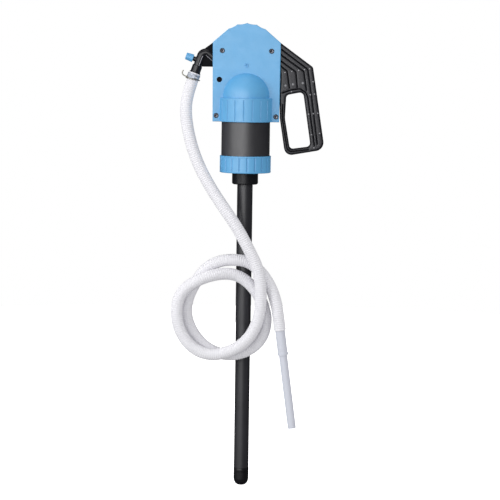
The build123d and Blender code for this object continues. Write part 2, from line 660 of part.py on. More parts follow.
with BuildPart() as outlet_seal:
    with BuildSketch(ring_plane(SPOUT_FOOT + 2)):
        with Locations((OUTLET_X, 0)):
            Circle(SPOUT_R + 2.2)
            Circle(SPOUT_R, mode=Mode.SUBTRACT)
    extrude(amount=4)
save(outlet_seal, "outlet_seal")

# vent knob on the spout, and the needle it drives
KNOB_START, KNOB_END = 15.6, 31.6
KNOB_LOBES, KNOB_R = 10, 8.8


def vent_plane(distance):
    return Plane(origin=leg_point(VENT, distance), x_dir=(0, 1, 0), z_dir=OUTWARD)


with BuildPart() as vent_knob:
    with BuildSketch(vent_plane(KNOB_START)):
        Circle(KNOB_R)
    extrude(amount=KNOB_END - KNOB_START, taper=3)
    fillet(vent_knob.faces().sort_by(Axis(leg_point(VENT), OUTWARD))[-1].edges(), 1.5)
    with BuildSketch(vent_plane(KNOB_START + 3)):
        with PolarLocations(9.4, KNOB_LOBES):
            Circle(1.5)
    extrude(amount=KNOB_END - KNOB_START, mode=Mode.SUBTRACT)
    with BuildSketch(vent_plane(KNOB_START)):
        Circle(2.1)
    extrude(amount=9, mode=Mode.SUBTRACT)
save(vent_knob, "vent_knob")

with BuildPart() as needle:
    with BuildSketch(vent_plane(6)):
        Circle(1.7)
    extrude(amount=KNOB_START + 8 - 6)
save(needle, "vent_needle")

# ---------------------------------------------------------------- hose clamp
with BuildPart() as band:
    with BuildSketch(leg_plane(-5)):
        Circle(HOSE_R + 0.9)
        Circle(HOSE_R, mode=Mode.SUBTRACT)
    extrude(amount=-13)
    with BuildSketch(leg_plane(-6)):
        with Locations((0, HOSE_R + 3.5)):
            Rectangle(9, 7)
        Circle(HOSE_R, mode=Mode.SUBTRACT)
    extrude(amount=-11)
save(band, "hose_clamp_band")

with BuildPart() as clamp_screw:
    with BuildSketch(Plane(origin=leg_point(-11.5) + Vector(0, -HOSE_R - 4.4, 0), z_dir=OUTWARD)):
        Circle(2.0)
    extrude(amount=9, both=True)
save(clamp_screw, "hose_clamp_screw")

# ---------------------------------------------------------------- hose and nozzle
UPPER = [
    (-119.1, 0, 229.6), (-132, -2, 193), (-139, -8, 150), (-133, -15, 101), (-120, -23, 53),
    (-101, -31, 8), (-75, -41, -37), (-44, -51, -82), (-14, -58, -126), (15, -60, -176),
    (32, -60, -226),
]
TAIL = [(39, -36, -226), (59, -42, -255), (73, -48, -288), (80, -51, -322), (85.6, -51, -358.6)]
COIL_X, COIL_Z, COIL_R = -46.0, -309.0, 123.5
EYE_X, EYE_Z, COIL_EYE_R = -43.0, -323.5, 72.0
COIL_BACK, COIL_FRONT = 20.0, 74.0


def corner_radii(points):
    """As large an arc at each corner as its two runs allow."""
    radii = []
    for before, here, after in zip(points, points[1:], points[2:]):
        run_in = Vector(here) - Vector(before)
        run_out = Vector(after) - Vector(here)
        turn = radians(run_in.get_angle(run_out))
        radii.append(0.45 * min(run_in.length, run_out.length) / tan(turn / 2))
    return radii


def hose_tube(points, label):
    """A stretch of hose that isn't coiled: straight runs joined by tangent arcs."""
    radii = corner_radii(points)
    with BuildPart() as piece:
        with BuildLine() as line:
            path = FilletPolyline(*points, radius=radii)
        with BuildSketch(Plane(origin=path @ 0, z_dir=path % 0)):
            Circle(HOSE_R)
        sweep()
    expected = pi * HOSE_R ** 2 * path.length
    print(label, "radii", [round(r) for r in radii], "length", round(path.length),
          "volume ratio", round(piece.part.volume / expected, 4))
    save(piece, label)


hose_tube(UPPER, "hose_upper")
hose_tube(TAIL, "hose_tail")
with BuildPart() as coil:
    with BuildSketch(Plane.XZ.offset(COIL_BACK)):
        with Locations((COIL_X, COIL_Z)):
            Circle(COIL_R)
        with Locations((EYE_X, EYE_Z)):
            Circle(COIL_EYE_R, mode=Mode.SUBTRACT)
    extrude(amount=COIL_FRONT - COIL_BACK)
save(coil, "hose_coil")

NOZZLE_START = Vector(*TAIL[-1])
NOZZLE_DIR = Vector(22.6, 0, -165.6).normalized()
CUFF_R, CUFF_END, NOZZLE_END = 11.4, 58.0, 231.0
CUFF_LIP = 5.0


def nozzle_plane(distance):
    return Plane(origin=NOZZLE_START + NOZZLE_DIR * distance, z_dir=NOZZLE_DIR)


with BuildPart() as sleeve:
    with BuildSketch(nozzle_plane(0)):
        Circle(CUFF_R)
    extrude(amount=CUFF_END)
    with BuildSketch(nozzle_plane(CUFF_END - CUFF_LIP)):
        Circle(CUFF_R + 1)
    extrude(amount=CUFF_LIP)
save(sleeve, "nozzle_sleeve")

with BuildPart() as nozzle:
    with BuildSketch(nozzle_plane(CUFF_END)):
        Circle(NOZZLE_R)
        Circle(NOZZLE_R - 1.8, mode=Mode.SUBTRACT)
    extrude(amount=NOZZLE_END - CUFF_END)
save(nozzle, "nozzle_tube")
print("stroke", round(STROKE, 2), "low pin", round(LEVER_LOW_PIN_Z, 2))
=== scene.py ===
"""Looks of the lever-action barrel pump: materials, sculpted shells, ribbed hose, clamp and nozzle."""

import json
import math

import bmesh
import bpy
import numpy as np
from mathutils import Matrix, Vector, geometry


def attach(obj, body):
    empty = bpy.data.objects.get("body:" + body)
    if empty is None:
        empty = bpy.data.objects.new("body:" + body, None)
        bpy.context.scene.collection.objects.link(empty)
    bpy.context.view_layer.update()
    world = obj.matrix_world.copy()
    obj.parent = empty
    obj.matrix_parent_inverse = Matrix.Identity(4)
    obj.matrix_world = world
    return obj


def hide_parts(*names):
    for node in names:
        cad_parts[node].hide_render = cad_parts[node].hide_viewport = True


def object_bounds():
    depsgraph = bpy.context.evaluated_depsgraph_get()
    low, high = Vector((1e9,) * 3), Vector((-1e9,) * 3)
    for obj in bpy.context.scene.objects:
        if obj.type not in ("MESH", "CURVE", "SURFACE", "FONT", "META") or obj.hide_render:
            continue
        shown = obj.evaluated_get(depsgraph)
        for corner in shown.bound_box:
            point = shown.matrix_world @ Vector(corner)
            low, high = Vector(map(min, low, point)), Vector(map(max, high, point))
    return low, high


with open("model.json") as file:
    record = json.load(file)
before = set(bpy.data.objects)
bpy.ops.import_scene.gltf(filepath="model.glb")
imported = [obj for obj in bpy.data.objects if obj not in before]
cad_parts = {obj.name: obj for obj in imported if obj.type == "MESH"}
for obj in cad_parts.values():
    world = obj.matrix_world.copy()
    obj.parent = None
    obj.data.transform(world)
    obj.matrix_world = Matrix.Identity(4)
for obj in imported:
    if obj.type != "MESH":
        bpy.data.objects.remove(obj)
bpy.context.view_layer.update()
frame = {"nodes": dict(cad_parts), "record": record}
MM = 0.001
NOISE_LOW, NOISE_HIGH = 0.3, 0.7

# ---------------------------------------------------------------- camera
CAMERA_PLACE = (0.0138, -4.2, 0.25)
CAMERA_PITCH, CAMERA_ROLL = math.radians(5.825), math.radians(0.816)
camera_data = bpy.data.cameras.new("camera")
camera_data.sensor_width = 36
camera_data.lens = 130.57
camera = bpy.data.objects.new("camera", camera_data)
bpy.context.scene.collection.objects.link(camera)
camera.location = CAMERA_PLACE
camera.rotation_euler = (math.pi / 2 - CAMERA_PITCH, 0, 0)
camera.rotation_euler.rotate_axis("Z", CAMERA_ROLL)
bpy.context.scene.camera = camera


# ---------------------------------------------------------------- materials
def node_tree(name):
    """A new material, its node tree and its Principled shader."""
    material = bpy.data.materials.new(name)
    material.use_nodes = True
    tree = material.node_tree
    return material, tree, tree.nodes["Principled BSDF"]


def add_noise(tree, scale, detail):
    """Noise in the object's own space, about 0.3 to 0.7 over most of the surface."""
    noise = tree.nodes.new("ShaderNodeTexNoise")
    noise.inputs["Scale"].default_value = scale
    noise.inputs["Detail"].default_value = detail
    noise.inputs["Roughness"].default_value = 0.55
    coords = tree.nodes.new("ShaderNodeTexCoord")
    tree.links.new(coords.outputs["Object"], noise.inputs["Vector"])
    return noise


def vary_colour(tree, shader, colour, amount, scale):
    """Base colour that drifts between a darker and a lighter tone of one colour."""
    noise = add_noise(tree, scale, detail=3)
    ramp = tree.nodes.new("ShaderNodeValToRGB")
    dark, light = ramp.color_ramp.elements
    dark.position = NOISE_LOW
    light.position = NOISE_HIGH
    dark.color = [c * (1 - amount) for c in colour] + [1]
    light.color = [min(1, c * (1 + amount)) for c in colour] + [1]
    tree.links.new(noise.outputs["Fac"], ramp.inputs["Fac"])
    tree.links.new(ramp.outputs["Color"], shader.inputs["Base Color"])


def vary_roughness(tree, shader, low, high, scale):
    """Roughness that drifts between a low and a high value."""
    noise = add_noise(tree, scale, detail=4)
    spread = tree.nodes.new("ShaderNodeMapRange")
    spread.inputs["From Min"].default_value = NOISE_LOW
    spread.inputs["From Max"].default_value = NOISE_HIGH
    spread.inputs["To Min"].default_value = low
    spread.inputs["To Max"].default_value = high
    tree.links.new(noise.outputs["Fac"], spread.inputs["Value"])
    tree.links.new(spread.outputs["Result"], shader.inputs["Roughness"])


def add_grain(tree, shader, scale, strength, distance=0.0002):
    """The fine orange-peel grain of a moulded or cast surface."""
    noise = add_noise(tree, scale, detail=2)
    bump = tree.nodes.new("ShaderNodeBump")
    bump.inputs["Strength"].default_value = strength
    bump.inputs["Distance"].default_value = distance
    tree.links.new(noise.outputs["Fac"], bump.inputs["Height"])
    tree.links.new(bump.outputs["Normal"], shader.inputs["Normal"])


def shade_by(tree, shader, attribute, colour):
    """Blend the base colour towards another where a vertex attribute of the mesh says so."""
    base = shader.inputs["Base Color"].links[0].from_socket
    share = tree.nodes.new("ShaderNodeAttribute")
    share.attribute_name = attribute
    blend = tree.nodes.new("ShaderNodeMix")
    blend.data_type = "RGBA"
    tint = [socket for socket in blend.inputs if socket.type == "RGBA"]
    tint[1].default_value = (*colour, 1)
    tree.links.new(share.outputs["Fac"], blend.inputs[0])
    tree.links.new(base, tint[0])
    mixed = [socket for socket in blend.outputs if socket.type == "RGBA"][0]
    tree.links.new(mixed, shader.inputs["Base Color"])


def plastic(name, colour, rough, drift, grain=0.25, grain_scale=900, specular=0.5, painted_shade=None, painted_highlight=None):
    """Moulded plastic or rubber, with optional painted shade in grooves and a paler painted highlight."""
    material, tree, shader = node_tree(name)
    vary_colour(tree, shader, colour, drift, scale=14)
    vary_roughness(tree, shader, *rough, scale=60)
    add_grain(tree, shader, grain_scale, grain)
    shader.inputs["Specular IOR Level"].default_value = specular
    if painted_shade:
        shade_by(tree, shader, "painted_shade", painted_shade)
    if painted_highlight:
        shade_by(tree, shader, "painted_highlight", painted_highlight)
    return material


def metal(name, colour, rough, metallic=1.0, painted_highlight=None):
    """Plated or blackened metal, with a very fine grain and an optional paler painted highlight."""
    material, tree, shader = node_tree(name)
    vary_colour(tree, shader, colour, amount=0.12, scale=90)
    vary_roughness(tree, shader, *rough, scale=200)
    add_grain(tree, shader, scale=1400, strength=0.3, distance=0.0001)
    shader.inputs["Metallic"].default_value = metallic
    if painted_highlight:
        shade_by(tree, shader, "painted_highlight", painted_highlight)
    return material


def milky_plastic(name, colour, rough, specular, painted_shade=None):
    """Natural polyethylene, nearly white, with optional painted shade between the ribs."""
    material, tree, shader = node_tree(name)
    vary_colour(tree, shader, colour, amount=0.015, scale=20)
    vary_roughness(tree, shader, *rough, scale=80)
    add_grain(tree, shader, scale=500, strength=0.1)
    shader.inputs["Specular IOR Level"].default_value = specular
    if painted_shade:
        shade_by(tree, shader, "painted_shade", painted_shade)
    return material


MATERIALS = {
    # head_plastic's darker blue is painted shade in the nut's flutes, the knob's lobes and the studs'
    # grooves.
    "head_plastic": plastic(
        "head_plastic", (0.09, 0.345, 0.63), rough=(0.46, 0.56), drift=0.025, grain=0.15, specular=0.6,
        painted_shade=(0.05, 0.2, 0.48)),
    # lever_plastic: painted shade in its grooves and along its edges, and a pale painted highlight on its
    # pips.
    "lever_plastic": plastic(
        "lever_plastic", (0.013, 0.013, 0.018), rough=(0.36, 0.46), drift=0.1, grain=0.45, grain_scale=620,
        specular=0.35, painted_shade=(0.004, 0.004, 0.006), painted_highlight=(0.3, 0.3, 0.32)),
    # spout_plastic's paler grey is a painted highlight along the ridge on each leg.
    "spout_plastic": plastic(
        "spout_plastic", (0.01, 0.01, 0.013), rough=(0.26, 0.36), drift=0.1, grain=0.06, grain_scale=700,
        specular=0.25, painted_highlight=(0.26, 0.26, 0.29)),
    "black_plastic": plastic(
        "black_plastic", (0.007, 0.007, 0.009), rough=(0.34, 0.44), drift=0.12, specular=0.18),
    # A darker, nearly unreflecting copy of the black plastic: painted shade for the spout's web and the
    # pivot caps.
    "shaded_black": plastic(
        "shaded_black", (0.004, 0.004, 0.006), rough=(0.5, 0.6), drift=0.12, specular=0.04),
    "barrel_plastic": plastic(
        "barrel_plastic", (0.024, 0.024, 0.029), rough=(0.44, 0.52), drift=0.06, grain=0.2, specular=0.7),
    "tube_plastic": plastic(
        "tube_plastic", (0.018, 0.018, 0.023), rough=(0.42, 0.5), drift=0.12, grain=0.12),
    "white_nylon": plastic("white_nylon", (0.78, 0.78, 0.74), rough=(0.35, 0.5), drift=0.03),
    "seal_rubber": plastic("seal_rubber", (0.02, 0.02, 0.02), rough=(0.6, 0.75), drift=0.1),
    # dark_steel's paler grey is a painted highlight round each screw's socket.
    "dark_steel": metal("dark_steel", (0.018, 0.019, 0.025), rough=(0.28, 0.4), painted_highlight=(0.14, 0.14, 0.16)),
    "bright_steel": metal("bright_steel", (0.6, 0.6, 0.61), rough=(0.18, 0.3)),
    "zinc_steel": metal("zinc_steel", (0.42, 0.45, 0.51), rough=(0.55, 0.65), metallic=0.4),
    "brass_wire": metal("brass_wire", (0.24, 0.23, 0.19), rough=(0.4, 0.5), metallic=0.6),
    # hose_plastic's slightly darker colour is painted shade in the valleys between the ribs.
    "hose_plastic": milky_plastic(
        "hose_plastic", (0.775, 0.77, 0.8), rough=(0.5, 0.6), specular=0.12, painted_shade=(0.73, 0.725, 0.765)),
    "nozzle_plastic": milky_plastic("nozzle_plastic", (0.6, 0.62, 0.69), rough=(0.3, 0.4), specular=0.2),
}


for part in frame["record"]["subparts"]:
    finishes = frame["nodes"][part["node"]].data.materials
    finishes.clear()
    finishes.append(MATERIALS[part["material_slot"]])


# ---------------------------------------------------------------- mesh helpers
def new_mesh():
    """An empty bmesh whose vertices carry painted shade and a painted highlight as attributes."""
    bm = bmesh.new()
    bm.verts.layers.float.new("painted_shade")
    bm.verts.layers.float.new("painted_highlight")
    return bm


def piece_from(name, bm, slot, body, smooth_angle=38):
    """Turn a bmesh into a piece that rides on a body, smooth except at corners."""
    bmesh.ops.remove_doubles(bm, verts=bm.verts, dist=2e-6)
    bmesh.ops.recalc_face_normals(bm, faces=bm.faces)
    mesh = bpy.data.meshes.new(name)
    bm.to_mesh(mesh)
    bm.free()
    piece = bpy.data.objects.new(name, mesh)
    bpy.context.scene.collection.objects.link(piece)
    mesh.materials.append(MATERIALS[slot])
    mesh.shade_smooth()
    mesh.set_sharp_from_angle(angle=math.radians(smooth_angle))
    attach(piece, body)
    return piece


def rounded_loop(corners, radii, step=2.0, closed=True):
    """A loop, or an open route, with each corner rounded by its radius and points every step or so."""
    count = len(corners)
    out = []
    for i, corner in enumerate(corners):
        here = Vector(corner)
        if not closed and i in (0, count - 1):
            out.append(here)
            continue
        before, after = Vector(corners[i - 1]), Vector(corners[(i + 1) % count])
        back, ahead = (before - here).normalized(), (after - here).normalized()
        radius = radii[i] if isinstance(radii, (list, tuple)) else radii
        bend = back.angle(ahead)
        if radius <= 0 or abs(math.pi - bend) < 0.01:
            out.append(here)
            continue
        reach = radius / math.tan(bend / 2)
        centre = here + (back + ahead).normalized() * (radius / math.sin(bend / 2))
        start, end = here + back * reach - centre, here + ahead * reach - centre
        sweep = start.angle_signed(end)
        parts = max(3, round(abs(sweep) * radius / min(step, radius / 3)))
        for k in range(parts + 1):
            turn = -sweep * k / parts
            c, s = math.cos(turn), math.sin(turn)
            out.append(centre + Vector((start.x * c - start.y * s, start.x * s + start.y * c)))
    return split_long(out, step, closed)


def split_long(points, step, closed):
    """Extra points on long straight stretches."""
    out = []
    last = len(points) if closed else len(points) - 1
    for i in range(last):
        a, b = points[i], points[(i + 1) % len(points)]
        parts = max(1, round((b - a).length / step))
        out += [a.lerp(b, k / parts) for k in range(parts)]
    if not closed:
        out.append(points[-1])
    return out


def side_points(line, offset, closed):
    """The line moved sideways by offset, to the left of its direction."""
    out = []
    for i, here in enumerate(line):
        ahead = line[(i + 1) % len(line)] if closed else line[min(i + 1, len(line) - 1)]
        behind = line[i - 1] if closed else line[max(i - 1, 0)]
        run = (ahead - behind).normalized()
        out.append(here + Vector((-run.y, run.x)) * offset)
    return out


def distance_to(points, line, closed):
    """Distance of each point to a polyline."""
    a = np.array([tuple(p) for p in line])
    b = np.roll(a, -1, axis=0)
    if not closed:
        a, b = a[:-1], b[:-1]
    p = points[:, None, :]
    run = b - a
    share = ((p - a) * run).sum(2) / np.maximum((run ** 2).sum(1), 1e-12)
    nearest = a + run * np.clip(share, 0, 1)[..., None]
    return np.sqrt(((p - nearest) ** 2).sum(2)).min(1)


def inside(points, loop):
    """Whether each point lies inside a closed loop."""
    a = np.array([tuple(p) for p in loop])
    b = np.roll(a, -1, axis=0)
    x, y = points[:, 0][:, None], points[:, 1][:, None]
    crosses = (a[:, 1] > y) != (b[:, 1] > y)
    with np.errstate(divide="ignore", invalid="ignore"):
        hit = x < (b[:, 0] - a[:, 0]) * (y - a[:, 1]) / (b[:, 1] - a[:, 1]) + a[:, 0]
    return (np.sum(crosses & hit, axis=1) % 2).astype(bool)


def anticlockwise(loop):
    """The loop turned round if it runs clockwise."""
    double_area = sum(a.x * b.y - b.x * a.y for a, b in zip(loop, loop[1:] + loop[:1]))
    return loop[::-1] if double_area < 0 else loop


def circle_points(centre, radius, start=0.0, sweep=2 * math.pi, parts=48, closed=True):
    """Points round a circle, or along an arc with both of its ends."""
    count = parts if closed else parts + 1
    angles = [start + sweep * k / parts for k in range(count)]
    return [Vector(centre) + Vector((math.cos(a), math.sin(a))) * radius for a in angles]


def smooth_step(share):
    """0 to 1 with no corner at either end."""
    return share * share * (3 - 2 * share)


EDGE_STEPS = 5
GROOVE_STEPS = (-0.8, -0.62, -0.45, -0.25, 0, 0.25, 0.45, 0.62, 0.8)
ROW_SPACING = 0.87                # height of an equilateral triangle against its side


def plate(bm, outer, holes, near, far, edge, grooves=(), groove=(0.0, 0.0), pitch=3.5, edge_shade=0.0):
    """A moulded plate in the XZ plane between y = near and y = far, in millimetres.

    Its edges are rounded by the radius edge.  grooves are routes of round-bottomed grooves in both faces,
    and groove is their half width and depth.  Grooves, and edges by edge_shade, get painted shade.
    """
    outer = anticlockwise(outer)
    holes = [anticlockwise(hole)[::-1] for hole in holes]
    loops = [outer, *holes]
    points, fixed = [], []
    for loop in loops:
        start = len(points)
        points += loop
        fixed += [(start + i, start + (i + 1) % len(loop)) for i in range(len(loop))]
    rim_count = len(points)
    for loop in loops:
        for k in range(1, EDGE_STEPS + 1):
            points += side_points(loop, edge * (1 - math.cos(math.pi / 2 * k / EDGE_STEPS)), True)
    width, depth = groove
    for route in grooves:
        for share in GROOVE_STEPS:
            points += side_points(route, share * width, False)
    flat = np.array([tuple(p) for p in points])
    low, high = flat.min(0), flat.max(0)
    grid = np.array([
        (low[0] + pitch * (i + 0.5 * (j % 2)), low[1] + pitch * ROW_SPACING * j)
        for j in range(int((high[1] - low[1]) / (pitch * ROW_SPACING)) + 1)
        for i in range(int((high[0] - low[0]) / pitch) + 1)
    ])
    room = np.min([distance_to(grid, loop, True) for loop in loops], axis=0) > edge + 0.4 * pitch
    for route in grooves:
        room &= distance_to(grid, route, False) > width + 0.3 * pitch
    flat = np.vstack([flat, grid[room]])
    keep = np.ones(len(flat), bool)
    extra = flat[rim_count:]
    inner = inside(extra, outer)
    for hole in holes:
        inner &= ~inside(extra, hole)
    keep[rim_count:] = inner
    coords = [Vector(p) for p in flat[keep]]
    placed, _, faces, _, _, _ = geometry.delaunay_2d_cdt(coords, fixed, [], 0, 1e-4)
    spots = np.array([tuple(p) for p in placed])
    middle = spots[np.array([list(f) for f in faces])].mean(1)
    solid = inside(middle, outer)
    for hole in holes:
        solid &= ~inside(middle, hole)
    rim = np.min([distance_to(spots, loop, True) for loop in loops], axis=0)
    drop = edge - np.sqrt(np.maximum(edge ** 2 - np.maximum(edge - rim, 0) ** 2, 0))
    # Painted shade: darker towards the rounded edges by edge_shade, and darker in the grooves.
    shade = np.clip(edge_shade * 1.6 * (1 - rim / (1.1 * edge)), 0, edge_shade)
    for route in grooves:
        share = np.clip(distance_to(spots, route, False) / (0.72 * width), 0, 1)
        hollow = 1 - smooth_step(share)
        drop += depth * hollow
        shade = np.maximum(shade, np.clip(1.5 * hollow, 0, 1))
    painted_shade = bm.verts.layers.float["painted_shade"]
    used = sorted({v for f, s in zip(faces, solid) if s for v in f})
    sheets = []
    for face_y, sign in ((near, 1), (far, -1)):
        sheet = {}
        for v in used:
            sheet[v] = bm.verts.new((spots[v][0] * MM, (face_y + sign * drop[v]) * MM, spots[v][1] * MM))
            sheet[v][painted_shade] = float(shade[v])
        sheets.append(sheet)
    borders = set()
    for f, s in zip(faces, solid):
        if not s:
            continue
        bm.faces.new([sheets[0][v] for v in f])
        bm.faces.new([sheets[1][v] for v in reversed(f)])
        for k in range(3):
            a, b = f[k], f[(k + 1) % 3]
            if (b, a) in borders:
                borders.remove((b, a))
            else:
                borders.add((a, b))
    for a, b in sorted(borders):
        bm.faces.new((sheets[0][b], sheets[0][a], sheets[1][a], sheets[1][b]))


def join_rings(bm, rings):
    """A closed skin over a row of rings of vertices, capped at both ends."""
    count = len(rings[0])
    for low, high in zip(rings, rings[1:]):
        for k in range(count):
            m = (k + 1) % count
            bm.faces.new((low[k], low[m], high[m], high[k]))
    bm.faces.new(rings[-1])
    bm.faces.new(list(reversed(rings[0])))


def tube_along(bm, path, radius_at, sides, shade_at=None, across=(0, 1, 0)):
    """A closed tube round a path, carried along without twist.

    radius_at and shade_at give the radius and the painted shade at a point's number along the path.
    """
    up = Vector(across)
    painted_shade = bm.verts.layers.float["painted_shade"]
    rings = []
    for i, here in enumerate(path):
        ahead = path[min(i + 1, len(path) - 1)] - path[max(i - 1, 0)]
        ahead.normalize()
        side = ahead.cross(up).normalized()
        up = side.cross(ahead).normalized()
        r = radius_at(i)
        ring = [
            bm.verts.new(here + (side * math.cos(a) + up * math.sin(a)) * r)
            for a in (2 * math.pi * k / sides for k in range(sides))
        ]
        if shade_at:
            for vert in ring:
                vert[painted_shade] = shade_at(i)
        rings.append(ring)
    join_rings(bm, rings)


def axes_for(direction):
    """Two axes square to a direction."""
    ahead = Vector(direction).normalized()
    side = Vector((0, 1, 0)).cross(ahead)
    side = side.normalized() if side.length > 0.1 else Vector((1, 0, 0))
    return side, ahead.cross(side), ahead


def turned(bm, profile, angles, origin=(0, 0, 0), direction=(0, 0, 1), dent=None):
    """Revolve a closed profile of (radius, height) points, in millimetres, about an axis.

    dent(angle, radius, height) gives how far the surface is pressed in there; the deeper, the more painted
    shade.
    """
    side, other, ahead = axes_for(direction)
    base = Vector(origin)
    painted_shade = bm.verts.layers.float["painted_shade"]
    rings = []
    for angle in angles:
        out = side * math.cos(angle) + other * math.sin(angle)
        ring = []
        for radius, height in profile:
            pressed = dent(angle, radius, height) if dent else 0.0
            vert = bm.verts.new((base + out * (radius - pressed) + ahead * height) * MM)
            vert[painted_shade] = min(1.0, 0.6 * pressed)
            ring.append(vert)
        rings.append(ring)
    on_axis = [radius < 1e-6 for radius, _ in profile]
    for low, high in zip(rings, rings[1:] + rings[:1]):
        for k in range(len(profile)):
            m = (k + 1) % len(profile)
            if on_axis[k] and on_axis[m]:
                continue
            corners = [low[k], low[m], high[m], high[k]]
            if on_axis[k]:
                corners = [low[k], low[m], high[m]]
            elif on_axis[m]:
                corners = [low[k], low[m], high[k]]
            bm.faces.new(corners)


def even_angles(count):
    """Angles all round, evenly spaced."""
    return [2 * math.pi * k / count for k in range(count)]


def dome(bm, centre, radius, height, face_y, side, painted_highlight=1.0):
    """A low round pip on a face square to Y, painted pale as a highlight by the last argument: side is -1
    at the front and 1 at the back.
    """
    layer = bm.verts.layers.float["painted_highlight"]
    rings = []
    for share, lift in ((1.0, -0.3), (0.9, 0.55), (0.55, 0.9)):
        ring = []
        for spot in circle_points(centre, radius * share, parts=16):
            vert = bm.verts.new((spot.x * MM, (face_y + side * height * lift) * MM, spot.y * MM))
            vert[layer] = painted_highlight
            ring.append(vert)
        rings.append(ring)
    join_rings(bm, rings)


# ---------------------------------------------------------------- lever
# Points and outlines are (x, z) in millimetres.
PIVOT = Vector((-62, 216))
PIVOT_HOLE_R = 8.25
LEVER_DROP = math.radians(20.8)      # how far the fork's arm slopes down from the pivot
LEVER_HALF, CHEEK_IN = 16.0, 12.2    # half the handle's thickness, inner face of each cheek
ROOT_R, ROOT_X, ROOT_TOP, ROOT_DROP = 140.0, 52.0, 320.0, 20.0   # hidden inner end of the handle plate
GRIP = [(152.8, 247), (182.7, 58), (92, 42), (78.4, 128)]
GRIP_RADII = [9, 20, 17, 45]
HAND_HOLE = [(90, 129), (102.6, 57.4), (150.6, 64.3), (131.6, 190), (92.3, 182.2)]
HOLE_RADII = [45, 9, 9, 10, 9]
# each groove's route and the radius of its bends
GRIP_GROOVES = [
    ([(60, 300.4), (141, 241.6), (151, 178), (165.5, 71)], 7),
    ([(60, 287), (131.8, 236.6), (138.4, 194)], 5),
    ([(70, 266), (113.4, 235.4), (117.4, 199.5)], 5),
    ([(74, 251), (93.4, 237), (99.5, 198.5)], 4),
    ([(84.4, 187), (103, 194.2), (124, 197), (137.6, 188), (142.4, 176), (159.1, 67.7)], 7),
    ([(84.2, 160), (84, 128), (97.4, 51.5), (146, 57.6)], 12),
]
# Raised ejector pips and larger discs on both faces; their pale colour is a painted highlight, weaker on
# the discs.
PIPS = [
    (144.7, 243.2), (132.8, 241.2), (119.5, 239.2), (103.9, 236.7), (88.3, 234.2), (153.1, 214),
    (147.2, 184), (156.7, 185.7), (144.4, 139.4), (154.8, 140.5), (165.4, 141.6), (151.7, 92.4),
    (170.5, 95.7), (157.8, 62), (103.8, 190.2),
]
PIP_R, PIP_H = 1.5, 0.5
DISCS = [(129.6, 210.1), (107.2, 207), (90.2, 204)]
DISC_R, DISC_H, DISC_HIGHLIGHT = 2.8, 0.4, 0.6
LEVER_EDGE, GROOVE_HALF, GROOVE_DEPTH = 4.8, 2.7, 2.4    # edge radius, groove's half width and depth
# the fork's arm, from the pivot along it: its end, the rod pin's slot and the block between the cheeks
ARM_LENGTH, ARM_HALF, ARM_ROOT_HALF = 147.0, 12.0, 11.0
SLOT_START, SLOT_END, SLOT_HALF = 54.4, 74.0, 6.6
BLOCK_START, BLOCK_END, BLOCK_HALF = 88.0, 146.0, 11.2


def arm_point(distance, offset):
    """A point along the fork's arm from the pivot, and out to its upper side."""
    c, s = math.cos(LEVER_DROP), math.sin(LEVER_DROP)
    return PIVOT + Vector((distance * c + offset * s, -distance * s + offset * c))


def arm_box(start, end, half):
    """The corners of a stretch of the fork's arm."""
    return [arm_point(start, half), arm_point(start, -half), arm_point(end, -half), arm_point(end, half)]


def build_lever():
    """The handle plate with its hand hole and grooves, the fork's two cheeks and the block between them."""
    low_angle = -math.asin(ROOT_DROP / ROOT_R)
    high_angle = math.acos((ROOT_X - PIVOT.x) / ROOT_R)
    root = circle_points(PIVOT, ROOT_R, low_angle, high_angle - low_angle, 24, closed=False)
    corners = [tuple(root[0]), *reversed(GRIP), (ROOT_X, ROOT_TOP)]
    path = rounded_loop(corners, [0, *reversed(GRIP_RADII), 0], closed=False)
    hole = rounded_loop(HAND_HOLE, HOLE_RADII)
    routes = [rounded_loop(route, radius, step=1.6, closed=False) for route, radius in GRIP_GROOVES]
    bm = new_mesh()
    # The handle plate's grooves and rounded edges get painted shade.
    plate(
        bm, path + root[::-1][:-1], [hole], -LEVER_HALF, LEVER_HALF, LEVER_EDGE, routes,
        (GROOVE_HALF, GROOVE_DEPTH), edge_shade=0.6)
    arm = rounded_loop(
        [arm_point(0, ARM_ROOT_HALF), arm_point(0, -ARM_ROOT_HALF), arm_point(40, -ARM_HALF),
         arm_point(ARM_LENGTH, -ARM_HALF), arm_point(ARM_LENGTH, ARM_HALF), arm_point(40, ARM_HALF)],
        [ARM_ROOT_HALF - 0.1, ARM_ROOT_HALF - 0.1, 0, 0, 0, 0])
    slot = rounded_loop(arm_box(SLOT_START, SLOT_END, SLOT_HALF), SLOT_HALF - 0.1)
    for side in (-1, 1):
        low, high = sorted((side * CHEEK_IN, side * (LEVER_HALF - 0.3)))
        plate(bm, arm, [circle_points(PIVOT, PIVOT_HOLE_R), slot], low, high, 0.8, pitch=6)
    block = rounded_loop(arm_box(BLOCK_START, BLOCK_END, BLOCK_HALF), 0)
    plate(bm, block, [], -CHEEK_IN - 1, CHEEK_IN + 1, 0.5, pitch=8)
    # The pips and discs are painted pale as a highlight.
    for side in (-1, 1):
        for pip in PIPS:
            dome(bm, pip, PIP_R, PIP_H, side * LEVER_HALF, side)
        for disc in DISCS:
            dome(bm, disc, DISC_R, DISC_H, side * LEVER_HALF, side, DISC_HIGHLIGHT)
    lever = piece_from("drop_handle", bm, "lever_plastic", "lever", smooth_angle=50)
    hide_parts("lever")


build_lever()

# ---------------------------------------------------------------- barrel nut
NUT_R, NUT_FOOT, NUT_TOP = 59.0, 2.3, 41.4
NUT_FLOOR, NUT_BORE = 6.0, 56.0      # where its floor ends, inner radius above it
BUNG_R = 30.2
NUT_LIP, NUT_LIP_H = 0.3, 3.0        # how far the plain bands at both ends stand out, their height
FLUTES, FIRST_FLUTE = 20, math.radians(-85.6)
FLUTE_HALF, FLUTE_DEPTH = 1.8, 1.1
FLUTE_GAP = 2 * math.pi / FLUTES


